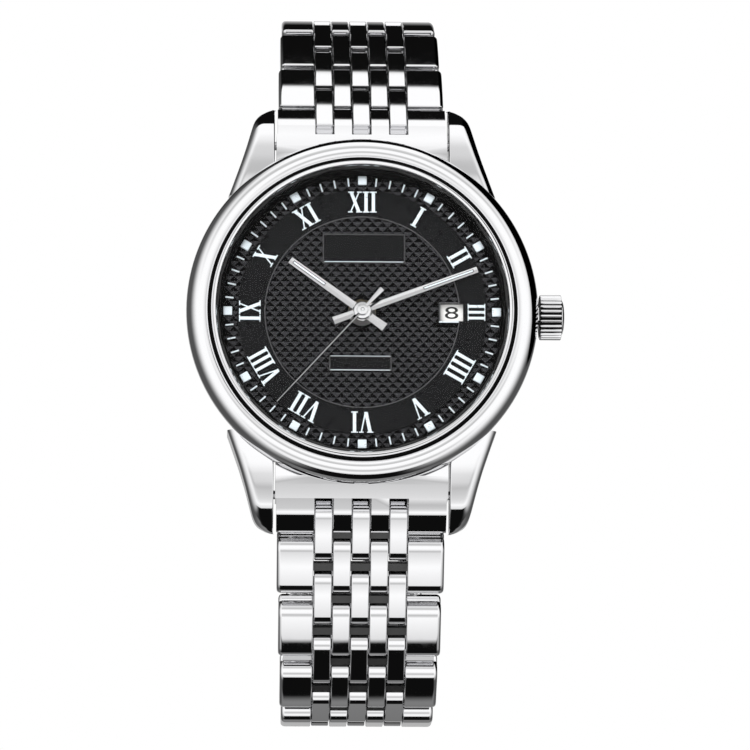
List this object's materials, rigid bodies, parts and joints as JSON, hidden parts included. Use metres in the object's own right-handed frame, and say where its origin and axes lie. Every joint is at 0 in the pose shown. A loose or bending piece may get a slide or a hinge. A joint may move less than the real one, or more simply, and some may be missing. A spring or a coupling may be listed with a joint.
{
  "type": "wristwatch",
  "caption": "Round steel wristwatch with a black Roman dial, date window, winding crown and a flexible multi-column link bracelet closed by a folding clasp.",
  "frame": {"origin": "centre of the case back's flat face, on the axis of the hands", "axes": "+X towards the crown at 3 o'clock, +Z towards 12 o'clock, -Y out of the dial, +Y into the wrist"},
  "size_m": [0.0432, 0.0414, 0.0844],
  "materials": {
    "polished_steel": "mirror polished stainless steel",
    "brushed_steel": "fine brushed steel",
    "dial_black": "black lacquer over a stamped pyramid pattern",
    "date_white": "matt white print",
    "movement_brass": "plain brass",
    "gasket_rubber": "matt black",
    "holder_plastic": "matt off-white",
    "crystal_glass": "clear polished crystal"
  },
  "bodies": {
    "case": {"case_middle": "polished_steel", "bezel": "polished_steel", "crystal": "crystal_glass", "crystal_gasket": "gasket_rubber", "dial": "dial_black", "chapter_ring": "dial_black", "main_plate": "movement_brass", "train_bridge": "brushed_steel", "balance_cock": "brushed_steel", "movement_ring": "holder_plastic", "crown_tube": "polished_steel", "case_back": "polished_steel", "case_back_gasket": "gasket_rubber", "end_link_12": "polished_steel", "end_link_6": "polished_steel", "spring_bar_12": "brushed_steel", "spring_bar_6": "brushed_steel"},
    "hour_hand": {"hour_hand": "polished_steel"},
    "minute_hand": {"minute_hand": "polished_steel"},
    "seconds_hand": {"seconds_hand": "polished_steel"},
    "date_disc": {"date_disc": "date_white"},
    "mainspring_barrel": {"mainspring_barrel": "movement_brass"},
    "rotor": {"rotor": "brushed_steel"},
    "balance_wheel": {"balance_wheel": "movement_brass"},
    "setting_lever": {"setting_lever": "brushed_steel"},
    "crown": {"crown": "polished_steel", "winding_stem": "brushed_steel"},
    "row_12_01": {"row_12_01": "polished_steel"},
    "row_12_02": {"row_12_02": "polished_steel"},
    "row_12_03": {"row_12_03": "polished_steel"},
    "row_12_04": {"row_12_04": "polished_steel"},
    "row_12_05": {"row_12_05": "polished_steel"},
    "row_12_06": {"row_12_06": "polished_steel"},
    "row_12_07": {"row_12_07": "polished_steel"},
    "row_12_08": {"row_12_08": "polished_steel"},
    "row_12_09": {"row_12_09": "polished_steel"},
    "row_12_10": {"row_12_10": "polished_steel"},
    "row_12_11": {"row_12_11": "polished_steel"},
    "row_12_12": {"row_12_12": "polished_steel"},
    "row_12_13": {"row_12_13": "polished_steel"},
    "row_12_14": {"row_12_14": "polished_steel"},
    "row_6_01": {"row_6_01": "polished_steel"},
    "row_6_02": {"row_6_02": "polished_steel"},
    "row_6_03": {"row_6_03": "polished_steel"},
    "row_6_04": {"row_6_04": "polished_steel"},
    "row_6_05": {"row_6_05": "polished_steel"},
    "row_6_06": {"row_6_06": "polished_steel"},
    "row_6_07": {"row_6_07": "polished_steel"},
    "row_6_08": {"row_6_08": "polished_steel"},
    "row_6_09": {"row_6_09": "polished_steel"},
    "row_6_10": {"row_6_10": "polished_steel"},
    "row_6_11": {"row_6_11": "polished_steel"},
    "row_6_12": {"row_6_12": "polished_steel"},
    "row_6_13": {"row_6_13": "polished_steel"},
    "row_6_14": {"row_6_14": "polished_steel"},
    "clasp_base_blade": {"clasp_base_blade": "polished_steel"},
    "clasp_middle_blade": {"clasp_middle_blade": "polished_steel"},
    "clasp_cover": {"clasp_cover": "polished_steel"},
    "clasp_button_left": {"clasp_button_left": "polished_steel"},
    "clasp_button_right": {"clasp_button_right": "polished_steel"}
  },
  "joints": [
    {"name": "minute_turn", "type": "hinge", "parent": "case", "child": "minute_hand", "pos_m": [0, -0.0078, 0], "axis": [0, 1, 0], "continuous": true},
    {"name": "hour_turn", "type": "hinge", "parent": "case", "child": "hour_hand", "pos_m": [0, -0.0072, 0], "axis": [0, 1, 0], "continuous": true},
    {"name": "seconds_turn", "type": "hinge", "parent": "case", "child": "seconds_hand", "pos_m": [0, -0.0083, 0], "axis": [0, 1, 0], "continuous": true},
    {"name": "date_turn", "type": "hinge", "parent": "case", "child": "date_disc", "pos_m": [0, -0.00615, 0], "axis": [0, 1, 0], "continuous": true},
    {"name": "barrel_turn", "type": "hinge", "parent": "case", "child": "mainspring_barrel", "pos_m": [0.0046, -0.0043, 0.0064], "axis": [0, 1, 0], "continuous": true},
    {"name": "rotor_spin", "type": "hinge", "parent": "case", "child": "rotor", "pos_m": [0, -0.0022, 0], "axis": [0, 1, 0], "continuous": true},
    {"name": "balance_swing", "type": "hinge", "parent": "case", "child": "balance_wheel", "pos_m": [-0.0058, -0.0042, -0.006], "axis": [0, 1, 0], "range_deg": [-270, 270], "stiffness_Nm_per_rad": 0.0000003},
    {"name": "crown_pull", "type": "slide", "parent": "case", "child": "setting_lever", "axis": [1, 0, 0], "range_m": [0, 0.0012]},
    {"name": "crown_turn", "type": "hinge", "parent": "setting_lever", "child": "crown", "pos_m": [0.0216, -0.0043, 0], "axis": [1, 0, 0], "continuous": true},
    {"name": "clasp_middle_hinge", "type": "hinge", "parent": "clasp_base_blade", "child": "clasp_middle_blade", "pos_m": [0, 0.02839, -0.0205], "axis": [-1, 0, 0], "range_deg": [0, 100]},
    {"name": "clasp_cover_hinge", "type": "hinge", "parent": "clasp_middle_blade", "child": "clasp_cover", "pos_m": [0, 0.0306, 0.01344], "axis": [1, 0, 0], "range_deg": [0, 145]},
    {"name": "clasp_button_left_press", "type": "slide", "parent": "clasp_cover", "child": "clasp_button_left", "axis": [1, 0, 0], "range_m": [0, 0.00035], "stiffness_N_per_m": 300},
    {"name": "clasp_button_right_press", "type": "slide", "parent": "clasp_cover", "child": "clasp_button_right", "axis": [-1, 0, 0], "range_m": [0, 0.00035], "stiffness_N_per_m": 300},
    {"name": "clasp_base_hinge", "type": "hinge", "parent": "row_12_14", "child": "clasp_base_blade", "pos_m": [0, 0.03013, 0.01671], "axis": [1, 0, 0], "range_deg": [0, 5.21]},
    {"name": "bend_12_01", "type": "hinge", "parent": "case", "child": "row_12_01", "pos_m": [0, -0.0024, 0.0228], "axis": [1, 0, 0], "range_deg": [0, 24]},
    {"name": "bend_12_02", "type": "hinge", "parent": "row_12_01", "child": "row_12_02", "pos_m": [0, 0.00005, 0.02583], "axis": [1, 0, 0], "range_deg": [0, 2.5]},
    {"name": "bend_12_03", "type": "hinge", "parent": "row_12_02", "child": "row_12_03", "pos_m": [0, 0.00253, 0.02884], "axis": [1, 0, 0], "range_deg": [0, 4]},
    {"name": "bend_12_04", "type": "hinge", "parent": "row_12_03", "child": "row_12_04", "pos_m": [0, 0.00512, 0.03176], "axis": [1, 0, 0], "range_deg": [0, 6]},
    {"name": "bend_12_05", "type": "hinge", "parent": "row_12_04", "child": "row_12_05", "pos_m": [0, 0.0079, 0.03449], "axis": [1, 0, 0], "range_deg": [0, 10]},
    {"name": "bend_12_06", "type": "hinge", "parent": "row_12_05", "child": "row_12_06", "pos_m": [0, 0.01104, 0.03681], "axis": [1, 0, 0], "range_deg": [0, 15]},
    {"name": "bend_12_07", "type": "hinge", "parent": "row_12_06", "child": "row_12_07", "pos_m": [0, 0.01461, 0.03837], "axis": [1, 0, 0], "range_deg": [0, 21]},
    {"name": "bend_12_08", "type": "hinge", "parent": "row_12_07", "child": "row_12_08", "pos_m": [0, 0.0185, 0.03868], "axis": [1, 0, 0], "range_deg": [0, 24]},
    {"name": "bend_12_09", "type": "hinge", "parent": "row_12_08", "child": "row_12_09", "pos_m": [0, 0.02222, 0.0375], "axis": [1, 0, 0], "range_deg": [0, 22]},
    {"name": "bend_12_10", "type": "hinge", "parent": "row_12_09", "child": "row_12_10", "pos_m": [0, 0.02531, 0.03513], "axis": [1, 0, 0], "range_deg": [0, 19]},
    {"name": "bend_12_11", "type": "hinge", "parent": "row_12_10", "child": "row_12_11", "pos_m": [0, 0.02758, 0.03195], "axis": [1, 0, 0], "range_deg": [0, 16]},
    {"name": "bend_12_12", "type": "hinge", "parent": "row_12_11", "child": "row_12_12", "pos_m": [0, 0.02901, 0.02832], "axis": [1, 0, 0], "range_deg": [0, 12.5]},
    {"name": "bend_12_13", "type": "hinge", "parent": "row_12_12", "child": "row_12_13", "pos_m": [0, 0.02975, 0.0245], "axis": [1, 0, 0], "range_deg": [0, 8.5]},
    {"name": "bend_12_14", "type": "hinge", "parent": "row_12_13", "child": "row_12_14", "pos_m": [0, 0.03006, 0.02061], "axis": [1, 0, 0], "range_deg": [0, 5.5]},
    {"name": "bend_6_01", "type": "hinge", "parent": "case", "child": "row_6_01", "pos_m": [0, -0.0024, -0.0228], "axis": [-1, 0, 0], "range_deg": [0, 13]},
    {"name": "bend_6_02", "type": "hinge", "parent": "row_6_01", "child": "row_6_02", "pos_m": [0, -0.00057, -0.02624], "axis": [-1, 0, 0], "range_deg": [0, 2]},
    {"name": "bend_6_03", "type": "hinge", "parent": "row_6_02", "child": "row_6_03", "pos_m": [0, 0.00126, -0.02969], "axis": [-1, 0, 0], "range_deg": [0, 3]},
    {"name": "bend_6_04", "type": "hinge", "parent": "row_6_03", "child": "row_6_04", "pos_m": [0, 0.00315, -0.0331], "axis": [-1, 0, 0], "range_deg": [0, 6]},
    {"name": "bend_6_05", "type": "hinge", "parent": "row_6_04", "child": "row_6_05", "pos_m": [0, 0.00528, -0.03637], "axis": [-1, 0, 0], "range_deg": [0, 11]},
    {"name": "bend_6_06", "type": "hinge", "parent": "row_6_05", "child": "row_6_06", "pos_m": [0, 0.00789, -0.03927], "axis": [-1, 0, 0], "range_deg": [0, 14]},
    {"name": "bend_6_07", "type": "hinge", "parent": "row_6_06", "child": "row_6_07", "pos_m": [0, 0.01104, -0.04156], "axis": [-1, 0, 0], "range_deg": [0, 17]},
    {"name": "bend_6_08", "type": "hinge", "parent": "row_6_07", "child": "row_6_08", "pos_m": [0, 0.01468, -0.04296], "axis": [-1, 0, 0], "range_deg": [0, 23]},
    {"name": "bend_6_09", "type": "hinge", "parent": "row_6_08", "child": "row_6_09", "pos_m": [0, 0.01858, -0.04296], "axis": [-1, 0, 0], "range_deg": [0, 25]},
    {"name": "bend_6_10", "type": "hinge", "parent": "row_6_09", "child": "row_6_10", "pos_m": [0, 0.02217, -0.04143], "axis": [-1, 0, 0], "range_deg": [0, 23]},
    {"name": "bend_6_11", "type": "hinge", "parent": "row_6_10", "child": "row_6_11", "pos_m": [0, 0.02498, -0.03872], "axis": [-1, 0, 0], "range_deg": [0, 20]},
    {"name": "bend_6_12", "type": "hinge", "parent": "row_6_11", "child": "row_6_12", "pos_m": [0, 0.02681, -0.03528], "axis": [-1, 0, 0], "range_deg": [0, 15]},
    {"name": "bend_6_13", "type": "hinge", "parent": "row_6_12", "child": "row_6_13", "pos_m": [0, 0.02782, -0.03151], "axis": [-1, 0, 0], "range_deg": [0, 9]},
    {"name": "bend_6_14", "type": "hinge", "parent": "row_6_13", "child": "row_6_14", "pos_m": [0, 0.02836, -0.02765], "axis": [-1, 0, 0], "range_deg": [0, 7]}
  ],
  "couplings": [
    {"joint": "hour_turn", "follows": "minute_turn", "ratio": 0.083333},
    {"joint": "seconds_turn", "follows": "minute_turn", "ratio": 60},
    {"joint": "date_turn", "follows": "minute_turn", "ratio": 0.0013441},
    {"joint": "barrel_turn", "follows": "minute_turn", "ratio": -0.13889}
  ]
}
